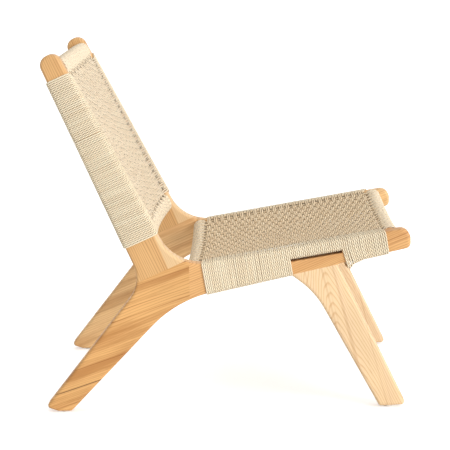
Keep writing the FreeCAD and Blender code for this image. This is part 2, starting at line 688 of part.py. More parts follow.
def seat_sleeves():
    rear_start, rear_start_under = turn(at("wrap_start"))
    rear_end, rear_end_under = turn(at("strip_start"))
    front_start, front_end = at("strip_end"), turn(at("wrap_end"))
    lowest = f"({at('slot_end')} + {s('seat_wrap_hang_setback')})"
    level = f"({lowest} + {s('seat_wrap_hang_width')})"
    hang = (lowest, f"({rail_under.rise_at(lowest)} - {s('seat_wrap_hang_depth')})")
    outlines = {
        "seat_wrap_rear": [rear_start, rear_start_under, rear_end_under, rear_end],
        "seat_wrap_strip": [rear_end, slot_roof(at("strip_start"), CORD),
                            slot_roof(front_start, CORD), turn(front_start)[0]],
        "seat_wrap_front": [turn(front_start)[0], slot_roof(front_start, "0"), hang,
                            (level, f"({rail_under.rise_at(level)} - {CORD})"), front_end[1],
                            front_end[0]],
    }
    level_edges = {"seat_wrap_rear": [1, 3], "seat_wrap_strip": [3], "seat_wrap_front": [3, 5]}
    sleeves = {}
    for name, points in outlines.items():
        edges = [(points[start], points[(start + 1) % len(points)]) for start in level_edges[name]]
        sleeves[name] = sleeve_blank(name, points, edges)
    return sleeves


def post_sleeve():
    start = at("post_wrap_start")
    end = at("post_wrap_end")
    points = [post_point(start, f"(-{CORD})"), post_point(start, f"({post_front(start)} + {CORD})"),
              post_point(end, f"({post_front(end)} + {CORD})"), post_point(end, f"(-{CORD})")]
    return sleeve_blank("post_wrap", points, [(points[1], points[2]), (points[3], points[0])])


def seat_panel():
    """The woven seat between the rails, level with the turns round them and bowed as they are."""
    gap = f"({CORD} + {s('soft_gap')})"
    rear = f"({s('seat_cross_rail_depth')} + {gap})"
    front = f"(-{gap})"
    under = f"(-{CORD})"
    points = [seat_point(at("rear_rail_run"), rear, under),
              seat_point(at("front_rail_run"), front, under),
              seat_point(at("front_rail_run"), front, CORD),
              seat_point(at("rear_rail_run"), rear, CORD)]
    middle = SEAT_BOW.middle(points)
    return cut_square("seat_weave", swept_body("seat_weave_arc", middle, SEAT_BOW), middle,
                      at("frame_depth"), f"({at('inner_width')} - 2 * {gap})")


def back_panel():
    """The woven back: straight along the upper rail, bowed along the lower one."""
    cord = size("cord_diameter")
    gap = cord + size("soft_gap")
    half = layout.get("inner_width") / 2 - gap
    radius = layout.get("back_bow_radius")
    depth = size("cross_rail_depth") + cord
    bow = size("lower_rail_bow_depth") - (radius - math.sqrt(radius ** 2 - half ** 2))
    lean = Rotation(Vector(0, 0, 1), size("post_lean_angle"))
    corner = Vector(layout.get("corner_run"), layout.get("corner_rise"), 0)

    def spot(up, across, aside):
        return corner + lean.multVec(Vector(across, up, aside))

    def section(up, front, sag):
        back = front - 2 * cord
        ends = [spot(up, across, aside) for across in (front, back) for aside in (-half, half)]
        middles = [spot(up, across - sag, 0) for across in (front, back)]
        if sag:
            face = Part.Arc(ends[0], middles[0], ends[1]).toShape()
            rear = Part.Arc(ends[3], middles[1], ends[2]).toShape()
        else:
            face = Part.makeLine(ends[0], ends[1])
            rear = Part.makeLine(ends[3], ends[2])
        return Part.Wire([face, Part.makeLine(ends[1], ends[3]), rear,
                          Part.makeLine(ends[2], ends[0])])

    sag = radius - math.sqrt(radius ** 2 - half ** 2)
    lower = section(layout.get("lower_rail_top") + gap, size("lower_rail_inset") + depth - bow, sag)
    upper = section(layout.get("top_rail_under") - gap, size("top_rail_inset") + depth, 0)
    panel = doc.addObject("Part::Feature", "back_weave_panel")
    panel.Shape = Part.makeLoft([lower, upper], True, True)
    return panel


# Tacks and glides.

def tack(name, point, into):
    """A cord tack driven flush into the inner face of a side frame, and its bore."""
    face = f"({into} * -{s('frame_thickness')} / 2)"
    parts = []
    for suffix, grow in (("", "0"), ("_bore", s("bore_clearance"))):
        pins = []
        for pin, length, width in (("shank", s("tack_length"), s("tack_diameter")),
                                   ("head", s("tack_head_height"), s("tack_head_diameter"))):
            depth = f"({length} + {grow})"
            pins.append(peg(f"{name}{suffix}_{pin}", point, f"({face} + {into} * {depth})",
                            f"({width} + 2 * {grow})", depth, -into))
        parts.append(joined("Part::Fuse", name + suffix, pins[0], [pins[1]]))
    return parts


def tacks(side, into):
    """A tack under the first and the last turns of the post and of the seat rail."""
    half_post = f"({s('post_foot_width')} / 2)"
    half_strip = f"({s('strip_depth')} / 2)"
    low = f"({at('lower_rail_top')} + {s('tack_inset')})"
    high = f"({at('top_rail_under')} - {s('tack_inset')})"
    start = f"({at('rear_rail_run')} + {s('seat_cross_rail_depth')} + {s('tack_inset')})"
    end = f"({at('front_rail_run')} - {s('tack_inset')})"
    spots = {
        "back_post": [post_point(low, half_post), post_point(high, half_post)],
        "seat_rail": [(run, f"({rail_top.rise_at(run)} - {half_strip})") for run in (start, end)],
    }
    return {board: [tack(f"{side}_{board}_tack_{index}", point, into)
                    for index, point in enumerate(points)] for board, points in spots.items()}


def glide(name, run):
    """A disc glide shaped to the foot above it, with its nail, and the bore of the nail."""
    disc = rod(name + "_disc", (run, "0"), "0", "90", s("glide_diameter"),
               f"({s('glide_height')} + {s('toe_lift_height')})")
    fitted = joined("Part::Cut", name + "_fitted", disc, [frame])
    nails = [rod(f"{name}_{part}", (run, "0"), "0", "90",
                 f"({s('glide_nail_diameter')} + 2 * {grow})",
                 f"({s('glide_height')} + {s('glide_nail_length')} + {grow})")
             for part, grow in (("nail", "0"), ("bore", s("bore_clearance")))]
    return joined("Part::Fuse", name + "_whole", fitted, [nails[0]]), nails[1]


# The whole chair: every piece under its own name.

pieces = {}


def keep(name, obj, side=0):
    """Name a finished piece and stand it in its place on the chair."""
    obj.Label = name
    place(obj, side)
    pieces[name] = obj


def keep_group(name, members, side=0):
    group = doc.addObject("Part::Compound", name)
    group.Links = members
    keep(name, group, side)


def beside(name, obj, side):
    """A shape of the whole chair as it lies seen from the plane of one side frame."""
    shifted = doc.addObject("Part::Compound", name)
    shifted.Links = [obj]
    shifted.setExpression(".Placement.Base.z", f"{side} * {at('side_offset')}")
    return shifted


def keep_boards(name, side, dowels, side_tacks, glides):
    """The five boards of one side frame, each with the bores of what goes into it."""
    for board, outline in regions.items():
        whole = f"{name}_{board}"
        region = padded_body(whole + "_region", outline, f"2 * {s('frame_thickness')}")
        blank = joined("Part::Common", whole + "_blank", frame, [region])
        bores = [bore for group in BOARD_DOWELS[board] for dowel, bore in dowels[group]]
        bores += [bore for driven, bore in side_tacks.get(board, [])]
        bores += [bore for shape, bore in glides.get(board, [])]
        bores += [beside(f"{whole}_{bore.Name}", bore, side)
                  for rail in BOARD_RAILS[board] for dowel, bore in rail_dowel_sets[rail][name]]
        keep(whole, joined("Part::Cut", whole, blank, bores) if bores else blank, side)


def keep_side(name, side):
    """Everything of one side frame: boards, dowels, tacks, glides and turns of cord."""
    into = -side
    dowels = frame_dowels(name)
    side_tacks = tacks(name, into)
    glides = {board: [glide(f"{name}_{board}_glide", run)]
              for board, run in (("rear_leg", at("rear_glide_run")),
                                 ("front_leg", at("front_glide_run")))}
    keep_boards(name, side, dowels, side_tacks, glides)
    for group, pairs in dowels.items():
        keep_group(f"{name}_{group}_dowels", [dowel for dowel, bore in pairs], side)
    keep_group(f"{name}_cord_tacks",
               [driven for pairs in side_tacks.values() for driven, bore in pairs], side)
    for board, pairs in glides.items():
        keep(f"{name}_{board}_glide", pairs[0][0], side)
    for wrap, blank in sleeves.items():
        whole = f"{name}_{wrap}"
        shapes = [frame if wrap == "seat_wrap_strip" else whole_frame]
        shapes += [beside(f"{whole}_{rail}", envelopes[rail], side)
                   for rail in SLEEVE_RAILS[wrap]]
        keep(whole, joined("Part::Cut", whole, blank, shapes), side)


BOARD_DOWELS = {
    "rear_leg": ["post", "elbow"],
    "back_post": ["post"],
    "post_wing": [],
    "seat_rail": ["elbow", "leg"],
    "front_leg": ["leg"],
}
BOARD_RAILS = {
    "rear_leg": [],
    "back_post": ["upper_back_rail", "lower_back_rail"],
    "post_wing": [],
    "seat_rail": ["rear_seat_rail", "front_seat_rail"],
    "front_leg": [],
}
SLEEVE_RAILS = {
    "seat_wrap_rear": ["rear_seat_rail"],
    "seat_wrap_strip": [],
    "seat_wrap_front": ["front_seat_rail"],
    "post_wrap": ["upper_back_rail", "lower_back_rail"],
}

whole_frame = side_frame()
frame = joined("Part::Cut", "slotted_frame", whole_frame, [slot_cutter()])
regions = board_regions()
rail_dowel_sets = {rail: rail_dowels(rail) for rail in CROSS_RAILS}
envelopes = {rail: cross_rail(rail + "_envelope", rail, CORD, at("envelope_round"))
             for rail in CROSS_RAILS}
sleeves = seat_sleeves()
sleeves["post_wrap"] = post_sleeve()

for rail in CROSS_RAILS:
    blank = cross_rail(rail + "_blank", rail, "0", s("cross_rail_radius"))
    pairs = rail_dowel_sets[rail]["right"] + rail_dowel_sets[rail]["left"]
    keep(rail, joined("Part::Cut", rail, blank, [bore for dowel, bore in pairs]))
    keep_group(rail + "_dowels", [dowel for dowel, bore in pairs])
    keep(rail + "_wrap", joined("Part::Cut", rail + "_wrap", envelopes[rail], [blank]))
for side_name, side_sign in SIDES.items():
    keep_side(side_name, side_sign)
keep("seat_weave", seat_panel())
keep("back_weave", back_panel())

doc.recompute()
faulty = [obj.Label for obj in doc.Objects if {"Invalid", "Error"} & set(obj.State)]
faulty += [name for name, obj in pieces.items() if obj.Shape.isNull() or not obj.Shape.isValid()]
if faulty:
    raise RuntimeError("These did not build: " + ", ".join(sorted(set(faulty))))

os.makedirs("parts", exist_ok=True)
for name, obj in pieces.items():
    obj.Shape.exportStep(f"parts/{name}.step")
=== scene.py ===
import math
import random

import bpy
import numpy
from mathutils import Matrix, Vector


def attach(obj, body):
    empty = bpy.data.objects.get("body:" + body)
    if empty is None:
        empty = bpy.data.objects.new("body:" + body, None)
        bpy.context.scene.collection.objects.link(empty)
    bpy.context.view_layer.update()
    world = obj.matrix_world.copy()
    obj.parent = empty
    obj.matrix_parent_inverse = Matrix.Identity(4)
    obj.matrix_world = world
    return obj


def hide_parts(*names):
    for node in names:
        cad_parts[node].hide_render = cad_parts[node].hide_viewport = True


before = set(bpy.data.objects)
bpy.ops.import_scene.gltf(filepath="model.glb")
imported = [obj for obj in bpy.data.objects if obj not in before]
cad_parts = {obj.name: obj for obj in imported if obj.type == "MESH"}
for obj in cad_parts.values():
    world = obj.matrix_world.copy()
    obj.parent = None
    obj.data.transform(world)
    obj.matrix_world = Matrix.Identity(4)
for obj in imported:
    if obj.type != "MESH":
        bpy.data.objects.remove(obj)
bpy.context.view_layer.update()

# Easy chair: ash side frames, and a paper cord seat and back wound round them and woven across.
# Sizes are in millimetres here, as in the construction. Run goes forward from the heel, rise goes
# up from the floor, and aside goes to the sitter's left.
MM = 0.001

# Side frames: inner and outer face, the seat rail's tip and slopes, the reclined post, and the
# round of the edges under the cord
HALF_DEPTH = 381
INNER = 272
OUTER = 310
RAIL_TIP_RUN = 762
RAIL_TIP_TOP = 381.3
RAIL_TIP_UNDER = 338.8
SEAT_ANGLE = math.radians(9.15)
UNDER_ANGLE = math.radians(11.95)
POST_ANGLE = math.radians(23.5)
POST_CORNER = (204.03, 273.42)
POST_FOOT_WIDTH = 76.5
POST_TOP_WIDTH = 43
POST_LENGTH = 508
EDGE_ROUND = 6.5

# Cross rails: section, places along the seat and up the post, and the bows of back and seat
RAIL_HEIGHT = 36
RAIL_ROUND = 12
SEAT_RAIL_DEPTH = 28
BACK_RAIL_DEPTH = 38
REAR_RAIL_RUN = 298
FRONT_RAIL_RUN = 706.4
LOWER_RAIL_UP = 48
LOWER_RAIL_INSET = 28
UPPER_RAIL_UP = 452
UPPER_RAIL_INSET = 5.5
LOWER_RAIL_BOW = 20
SEAT_BOW = 10

# Cord: where its middle lies on the faces of a side frame, how it goes round corners, and the
# ways from one cord to the next. Arcs have so many steps, and a bend below the least, in radians,
# has no arc. Each cord's twist starts somewhere in its first metres.
CORD = 4
HALF_CORD = CORD / 2
CORD_SIDES = 6
CORD_INNER = INNER - HALF_CORD
CORD_OUTER = OUTER + HALF_CORD
FRAME_CORNER = EDGE_ROUND + HALF_CORD
RAIL_CORNER = RAIL_ROUND + HALF_CORD
LEAST_BEND = 0.03
TURN_STEPS = 4
RAIL_STEPS = 3
TWIST_START = 9
ALONG_SEAT = (0, -math.cos(SEAT_ANGLE), math.sin(SEAT_ANGLE))
ALONG_POST = (0, math.sin(POST_ANGLE), math.cos(POST_ANGLE))
ASIDE = (1, 0, 0)

# Turns on a cross rail, from the right. Two of every eight run on through the weave as a pair of
# warps. They leave the rail near its edge, and come back from round it to a tucked end.
RAIL_TURNS = 132
RAIL_PITCH = 4.115
RAIL_START = -RAIL_PITCH * (RAIL_TURNS - 1) / 2
WARP_FIRST = 5
WARP_EVERY = 8
WARP_PAIRS = 16
WARP_SWING = 0.9
WARP_LEAVES = 6
WARP_RISES = -8
WARP_TUCK = 16
WARP_TUCK_LOW = -3

# Wefts, which run in pairs. The cords of a pair lie closer by a share of their spacing, and
# spread where they swing. From a side frame, a weft dives under the warp pair beside it, or runs
# level over that. These ways are points as (inward from the frame's inner face, height, apart),
# the first two of them with the height from the top of the frame's turns.
SEAT_STRANDS = 96
BACK_STRANDS = 92
SEAT_SWING = 2.4
BACK_SWING = 1.3
SEAT_CLOSE = 0.24
BACK_CLOSE = 0.12
WEFT_UNEVEN = 0.03
WEFT_SPREAD = 0.28
WEFT_STEPS = 6
WAVE_FULLNESS = 0.7
ON_FRAME = 4
DIVE = 10.5
DIVING_WAY = ((-ON_FRAME, 0, 0), (3, -0.6, -0.3), (5.5, -3.5, -0.6), (7, 2.5 - DIVE, -0.6),
              (11, -DIVE, -0.6), (17, 3.5 - DIVE, -0.6))
LEVEL_WAY = ((-ON_FRAME, 0, 0), (3, -0.2, 0.8), (13, HALF_CORD, 0.8))

# Turns on the side frames. Their tails come up inside the frame and turn in under the wefts.
TURN_UNEVEN = 0.05
KINK_ROUND = 30
TAIL = 16
TAIL_ROUND = 3
TAIL_RISE = 2.5
TAIL_LEVEL = -7
SEAT_TAIL_DIVE = -DIVE - 3
BACK_TAIL_DIVE = -DIVE - 5

# Painted shade, from 0 to 1, which takes a cord's colour towards its shadow colour in the hollows.
# A cord is painted darker at its sides, from a share of its half width. A weft is painted darker
# from a height in the weave down, as (height, fade), and sooner in a strip along the side frames.
# A turn is painted darker inside the frame, from a height under the weave up. The warps get a
# little painted shade all along, and the rear seat rail's turns more.
SIDE_SHADE = 0.42
SIDE_FROM = 0.6
WEAVE_PAINTED_SHADE = (-0.8, 6)
EDGE_PAINTED_SHADE = (0.5, 3)
EDGE_STRIP = 18
TURN_PAINTED_SHADE = (-24, 10)
TURN_UNSHADED = -26
WARP_PAINTED_SHADE = 0.08
REAR_RAIL_PAINTED_SHADE = 0.12

random.seed(7)


# Shapes in the chair's own terms

def spot(aside, run, rise):
    """A place in the scene's own axes, in metres."""
    return Vector((aside, HALF_DEPTH - run, rise)) * MM


def rail_top(run):
    """The rise of a seat rail's top edge."""
    return RAIL_TIP_TOP - (RAIL_TIP_RUN - run) * math.tan(SEAT_ANGLE)


def rail_under(run):
    """The rise of a seat rail's lower edge."""
    return RAIL_TIP_UNDER - (RAIL_TIP_RUN - run) * math.tan(UNDER_ANGLE)


def seat_point(run, forward, up):
    """A point set off along the seat's slope and square to it, from the rail's top edge."""
    return (run + forward * math.cos(SEAT_ANGLE) - up * math.sin(SEAT_ANGLE),
            rail_top(run) + forward * math.sin(SEAT_ANGLE) + up * math.cos(SEAT_ANGLE))


def rail_deep(run):
    """How deep a seat rail is, square to its top edge."""
    slope = math.cos(SEAT_ANGLE) + math.tan(UNDER_ANGLE) * math.sin(SEAT_ANGLE)
    return (rail_top(run) - rail_under(run)) / slope


def post_point(up, across):
    """A point set off up a post from its lower rear corner, and square to it, to the front."""
    return (POST_CORNER[0] - up * math.sin(POST_ANGLE) + across * math.cos(POST_ANGLE),
            POST_CORNER[1] + up * math.cos(POST_ANGLE) + across * math.sin(POST_ANGLE))


def post_front(up):
    """How far across the post its front edge lies."""
    return POST_FOOT_WIDTH - (POST_FOOT_WIDTH - POST_TOP_WIDTH) * up / POST_LENGTH


def limited(share):
    return min(1, max(0, share))


def bow(aside, up):
    """How far the back is bowed backward, most at the lower rail and not at all at the upper."""
    fade = (UPPER_RAIL_UP - up) / (UPPER_RAIL_UP - LOWER_RAIL_UP - RAIL_HEIGHT)
    return LOWER_RAIL_BOW * (1 - (aside / INNER) ** 2) * limited(fade)


def dip(aside):
    """How far the seat hangs below the tops of the side frames."""
    return SEAT_BOW * (1 - (aside / INNER) ** 2)


def back_middle(up):
    """The middle of the woven back across the post, at the side frames."""
    low = LOWER_RAIL_INSET + BACK_RAIL_DEPTH
    high = UPPER_RAIL_INSET + BACK_RAIL_DEPTH
    share = (up - LOWER_RAIL_UP - RAIL_HEIGHT) / (UPPER_RAIL_UP - LOWER_RAIL_UP - RAIL_HEIGHT)
    return low + (high - low) * share


def bent(points, radii, steps):
    """A path through the points, with an arc of the given radius at each inner one."""
    path = [points[0]]
    for index in range(1, len(points) - 1):
        corner = points[index]
        radius = radii[index - 1] * MM
        before = (points[index - 1] - corner).normalized()
        after = (points[index + 1] - corner).normalized()
        turned = math.pi - before.angle(after)
        if radius == 0 or turned < LEAST_BEND:
            path.append(corner)
            continue
        reach = radius * math.tan(turned / 2)
        centre = corner + (before + after).normalized() * (radius / math.cos(turned / 2))
        start = (corner + before * reach - centre).normalized()
        end = (corner + after * reach - centre).normalized()
        for step in range(steps + 1):
            path.append(centre + start.slerp(end, step / steps) * radius)
    path.append(points[-1])
    return path


# Making of pieces

def deselect():
    bpy.ops.object.select_all(action="DESELECT")


def finished(piece, material, nodes):
    piece.data.materials.clear()
    piece.data.materials.append(material)
    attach(piece, "root")
    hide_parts(*nodes)


def wound(name, paths, beside, painted_shades, closed=False):
    """Cord along each of the paths, as one mesh. Its UV runs along a cord in metres, and round it.
    Beside is the way to the next cord, and each point comes with a painted shade, for how deep it
    lies in the weave."""
    curve = bpy.data.curves.new(name, "CURVE")
    curve.dimensions = "3D"
    curve.bevel_depth = HALF_CORD * MM
    curve.bevel_resolution = (CORD_SIDES - 4) // 2
    curve.use_fill_caps = True
    for path in paths:
        spline = curve.splines.new("POLY")
        spline.points.add(len(path) - 1)
        for point, place in zip(spline.points, path):
            point.co = (*place, 1)
        spline.use_cyclic_u = closed
    cord = bpy.data.objects.new(name, curve)
    bpy.context.collection.objects.link(cord)
    deselect()
    cord.select_set(True)
    bpy.context.view_layer.objects.active = cord
    bpy.ops.object.convert(target="MESH")
    bpy.ops.object.shade_smooth()
    measure_along(cord.data, paths, Vector(beside), painted_shades, closed)
    return cord


def measure_along(mesh, paths, beside, painted_shades, closed):
    """Turns the UV's share of each cord into metres along it, with a start of its own, and
    stores a painted shade for every corner: the larger of the one given for its point, deep in the
    weave, and one on its sides towards the next cord. The faces of the end caps come first in the
    mesh, and then each step of each cord."""
    layer = mesh.uv_layers[0]
    places = numpy.zeros(2 * len(mesh.loops), dtype=numpy.float32)
    layer.uv.foreach_get("vector", places)
    places = places.reshape(-1, 2)
    corners = numpy.zeros(3 * len(mesh.vertices), dtype=numpy.float32)
    mesh.vertices.foreach_get("co", corners)
    corners = corners.reshape(-1, 3)
    ends = numpy.zeros(len(mesh.loops), dtype=numpy.int32)
    mesh.loops.foreach_get("vertex_index", ends)
    shade = numpy.zeros(len(mesh.loops), dtype=numpy.float32)
    counts = [len(path) if closed else len(path) - 1 for path in paths]
    loops_each = 4 * CORD_SIDES
    start = len(mesh.loops) - loops_each * sum(counts)
    for path, painted_shade, count in zip(paths, painted_shades, counts):
        points = numpy.array([*path, path[0]][:count + 1])
        steps = numpy.linalg.norm(points[1:] - points[:-1], axis=1)
        lengths = random.uniform(0, TWIST_START) + numpy.concatenate([[0], numpy.cumsum(steps)])
        stretch = slice(start, start + loops_each * count)
        ring = numpy.rint(places[stretch, 0] * count).astype(int)
        places[stretch, 0] = lengths[ring]
        outward = corners[ends[stretch]] - points[ring]
        side = numpy.abs(outward @ numpy.array(beside)) / (HALF_CORD * MM)
        side = numpy.clip((side - SIDE_FROM) / (1 - SIDE_FROM), 0, 1) * SIDE_SHADE
        shade[stretch] = numpy.maximum(side, numpy.array([*painted_shade, painted_shade[0]][:count + 1])[ring])
        start = stretch.stop
    layer.uv.foreach_set("vector", places.ravel())
    mesh.attributes.new("painted_shade", "FLOAT", "CORNER").data.foreach_set("value", shade)


def weft_painted_shade(aside, swing):
    """How much painted shade a weft gets where it swings that far from the middle of the weave:
    more the lower it lies, and sooner in the strip along the side frames.
    """
    height, fade = EDGE_PAINTED_SHADE if abs(aside) > INNER - EDGE_STRIP else WEAVE_PAINTED_SHADE
    return limited((height - swing) / fade)


def turn_painted_shade(path, level):
    """The painted shade of the points of a turn where they lie inside the side frame, from a
    height under the weave up. Level is their height above the weave.
    """
    height, fade = TURN_PAINTED_SHADE
    inside = (INNER - HALF_CORD / 2) * MM
    return [limited((level(point) - height) / fade) if abs(point.x) < inside else 0
            for point in path]


# Where the turns and the weft lie

def spread(count, start, end, uneven, gaps=()):
    """Places from start to end, a little uneven, with a wider gap at some of them."""
    steps = [1 + random.uniform(-uneven, uneven) for _ in range(count - 1)]
    for index, wider in gaps:
        steps[index] += wider
    total = sum(steps)
    places = [start]
    for step in steps:
        places.append(places[-1] + (end - start) * step / total)
    return places


def in_pairs(places, close):
    """Moves the two cords of every weft pair towards each other, by a share of their spacing."""
    closer = list(places)
    for index in range(0, len(places) - 1, 2):
        gap = (places[index + 1] - places[index]) * close / 2
        closer[index] += gap
        closer[index + 1] -= gap
    return closer


def dives(index, side):
    """Whether a weft goes under the warp pair that is nearest to a side frame."""
    nearest = 0 if side < 0 else WARP_PAIRS - 1
    return (index // 2 + nearest) % 2 == 0


def rail_place(turn):
    """Where a turn on a cross rail lies, aside from the middle of the chair."""
    return RAIL_START + RAIL_PITCH * turn


WARPS = [[rail_place(WARP_FIRST + WARP_EVERY * pair + step) for step in (0, 1)]
         for pair in range(WARP_PAIRS)]


def weft_wave(index, swing):
    """(aside, swing, apart) of a weft over and under the warp pairs, from right to left."""
    first, second = [sum(pair) / 2 for pair in WARPS[:2]]
    way = -1 if dives(index, -1) else 1
    wave = []
    for step in range(WEFT_STEPS * (WARP_PAIRS - 1) + 1):
        height = math.cos(math.pi * step / WEFT_STEPS)
        height = math.copysign(abs(height) ** WAVE_FULLNESS, height)
        wave.append((first + (second - first) * step / WEFT_STEPS, swing * height * way,
                     swing * WEFT_SPREAD * height * way))
    return wave


def weft_end(index, side, top):
    """(aside, swing, apart) of a weft from the side frame to near the warp pair beside it."""
    way = DIVING_WAY if dives(index, side) else LEVEL_WAY
    return [(side * (INNER - inward), height + (top if step < 2 else 0), apart)
            for step, (inward, height, apart) in enumerate(way)]


def beside_pair(index, apart):
    """Moves a weft along, away from the other cord of its pair."""
    return apart if index % 2 else -apart


def through_weft(pair, places, at):
    """The points of a warp over and under the weft pairs at these places. At makes a point of a
    place and a swing."""
    middles = [(first + second) / 2 for first, second in zip(places[::2], places[1::2])]
    points = []
    for index, middle in enumerate(middles):
        if index > 0:
            points.append(at((middles[index - 1] + middle) / 2, 0))
        points.append(at(middle, WARP_SWING if (index + pair) % 2 == 0 else -WARP_SWING))
    return points


def closed_turn(corners, at):
    """A closed turn round a cross rail's section, from the middle of its last side. At makes a
    point of a place in the section."""
    middle = [(last + first) / 2 for last, first in zip(corners[3], corners[0])]
    points = [at(*place) for place in (middle, *corners, middle)]
    return bent(points, [RAIL_CORNER] * 4, RAIL_STEPS)[:-1]


# Seat. Behind the front leg the turns go round the rail, or through its slot from the strip's
# start on. In front of the leg they hang below the rail. The fall is given as (how far forward
# of the first one's foot, how far below the rail).

REAR_TURNS = 73
REAR_TURNS_FROM = 330.2
REAR_TURNS_TO = 615
FRONT_TURNS_FROM = 619
FRONT_TURNS_TO = 709
SEAT_OUT = (spread(REAR_TURNS, REAR_TURNS_FROM, REAR_TURNS_TO, TURN_UNEVEN,
                   gaps=[(16, 0.1), (27, 0.08), (29, 0.14), (33, 0.1)])
            + spread(SEAT_STRANDS - REAR_TURNS, FRONT_TURNS_FROM, FRONT_TURNS_TO, TURN_UNEVEN,
                     gaps=[(2, 0.08), (8, 0.12)]))
SEAT_WEFTS_FROM = 331.2
SEAT_WEFTS_TO = 701.4
SEAT_IN = in_pairs(spread(SEAT_STRANDS, SEAT_WEFTS_FROM, SEAT_WEFTS_TO, WEFT_UNEVEN), SEAT_CLOSE)
STRIP_FROM = 508
STRIP_DEEP = 20
HANG_RUN = 634
HANG_FALL = [(0, 11), (4.5, 13.5), (10, 4.5), (19, 3), (30, 0)]


def hang_below(along):
    """How far the turns in front of the leg hang below the rail."""
    for (start, high), (end, low) in zip(HANG_FALL, HANG_FALL[1:]):
        if along < end:
            return high + (low - high) * max(0, along - start) / (end - start)
    return 0


def seat_descent(index, run):
    """Side view of one turn on a seat rail: from over its top down to its lowest point."""
    out = SEAT_OUT[index]
    top = seat_point(run, 0, HALF_CORD)
    if out < STRIP_FROM:
        return [top, seat_point(run, 0, -rail_deep(run) - HALF_CORD)]
    if index < REAR_TURNS:
        return [top, seat_point(run, 0, -STRIP_DEEP - HALF_CORD)]
    first, last = SEAT_OUT[REAR_TURNS], SEAT_OUT[-1]
    last_foot = seat_point(FRONT_TURNS_TO, 0, -rail_deep(FRONT_TURNS_TO))[0]
    foot = HANG_RUN + (last_foot - HANG_RUN) * ((out - first) / (last - first))
    foot += run - out
    kink = seat_point(run, 0, -STRIP_DEEP)
    return [top, kink, (foot, rail_under(foot) - HALF_CORD - hang_below(foot - HANG_RUN))]


def seat_turn(index, side):
    """One turn on a seat rail, from the edge of the weave over, round and up inside."""
    out = seat_descent(index, SEAT_OUT[index])
    inside = seat_descent(index, SEAT_IN[index])
    tail = SEAT_TAIL_DIVE if dives(index, side) else TAIL_LEVEL
    way = ([(CORD_OUTER, out[0], FRAME_CORNER)]
           + [(CORD_OUTER, place, KINK_ROUND) for place in out[1:-1]]
           + [(CORD_OUTER, out[-1], FRAME_CORNER), (CORD_INNER, inside[-1], FRAME_CORNER)]
           + [(CORD_INNER, place, KINK_ROUND) for place in inside[-2:0:-1]])
    if SEAT_OUT[index] < STRIP_FROM:
        way.append((CORD_INNER, seat_point(SEAT_IN[index], 0, TURN_UNSHADED), 0))
    way.append((CORD_INNER, seat_point(SEAT_IN[index], 0, tail), TAIL_ROUND))
    corners = [spot(side * (INNER + ON_FRAME), *inside[0])]
    corners += [spot(side * aside, *place) for aside, place, radius in way]
    corners.append(spot(side * (INNER - TAIL), *seat_point(SEAT_IN[index], 0, tail + TAIL_RISE)))
    return bent(corners, [radius for aside, place, radius in way], TURN_STEPS)


def seat_weft(index):
    """A weft of the seat from the right frame to the left one, and its hollows."""
    places = (weft_end(index, -1, HALF_CORD) + weft_wave(index, SEAT_SWING)
              + weft_end(index, 1, HALF_CORD)[::-1])
    path = [spot(aside, *seat_point(SEAT_IN[index] + beside_pair(index, apart), 0,
                                    swing - max(0, dip(aside))))
            for aside, swing, apart in places]
    return path, [weft_painted_shade(aside, swing) for aside, swing, apart in places]


def seat_rail_section():
    """Corners of a turn round a cross rail of the seat, forward and up from the rail's run."""
    low = -RAIL_HEIGHT - HALF_CORD
    front = SEAT_RAIL_DEPTH + HALF_CORD
    return [(-HALF_CORD, HALF_CORD), (-HALF_CORD, low), (front, low), (front, HALF_CORD)]


def seat_rail_turn(run, aside):
    return closed_turn(seat_rail_section(), lambda forward, up: spot(
        aside, *seat_point(run, forward, up - dip(aside))))


def seat_warp(pair, aside):
    """A warp cord: up round the rear rail, through the weft, and down round the front rail."""
    sag = dip(aside)
    corners = seat_rail_section()
    rear = [(SEAT_RAIL_DEPTH + WARP_TUCK, WARP_TUCK_LOW),
            (SEAT_RAIL_DEPTH + HALF_CORD, WARP_RISES), corners[2], corners[1], corners[0],
            (SEAT_RAIL_DEPTH - WARP_LEAVES, HALF_CORD)]
    front = [(WARP_LEAVES, HALF_CORD), corners[3], corners[2], corners[1],
             (-HALF_CORD, WARP_RISES), (-WARP_TUCK, WARP_TUCK_LOW)]
    rear = [spot(aside, *seat_point(REAR_RAIL_RUN, forward, up - sag)) for forward, up in rear]
    front = [spot(aside, *seat_point(FRONT_RAIL_RUN, forward, up - sag)) for forward, up in front]
    return (bent(rear, [TAIL_ROUND] + [RAIL_CORNER] * 3, RAIL_STEPS)
            + through_weft(pair, SEAT_IN,
                           lambda run, swing: spot(aside, *seat_point(run, 0, swing - sag)))
            + bent(front, [RAIL_CORNER] * 3 + [TAIL_ROUND], RAIL_STEPS))


# Back

BACK_TURNS_FROM = 82.2
BACK_TURNS_TO = 456.8
BACK_OUT = spread(BACK_STRANDS, BACK_TURNS_FROM, BACK_TURNS_TO, TURN_UNEVEN,
                  gaps=[(23, 0.08), (41, 0.1), (58, 0.16), (74, 0.08)])
BACK_WEFTS_FROM = 90.2
BACK_WEFTS_TO = 446.6
BACK_IN = in_pairs(spread(BACK_STRANDS, BACK_WEFTS_FROM, BACK_WEFTS_TO, WEFT_UNEVEN), BACK_CLOSE)


def back_turn(index, side):
    """One turn on a post, from the edge of the weave over, round and in behind."""
    out = BACK_OUT[index]
    inside = BACK_IN[index]
    middle = back_middle(inside)
    tail = BACK_TAIL_DIVE if dives(index, side) else TAIL_LEVEL
    way = [(INNER + ON_FRAME, inside, post_front(inside) + HALF_CORD),
           (CORD_OUTER, out, post_front(out) + HALF_CORD), (CORD_OUTER, out, -HALF_CORD),
           (CORD_INNER, inside, -HALF_CORD), (CORD_INNER, inside, middle + TURN_UNSHADED),
           (CORD_INNER, inside, middle + tail),
           (INNER - TAIL, inside, middle - bow(INNER - TAIL, inside) + tail + TAIL_RISE)]
    corners = [spot(side * aside, *post_point(up, across)) for aside, up, across in way]
    return bent(corners, [FRAME_CORNER] * 3 + [0, TAIL_ROUND], TURN_STEPS)


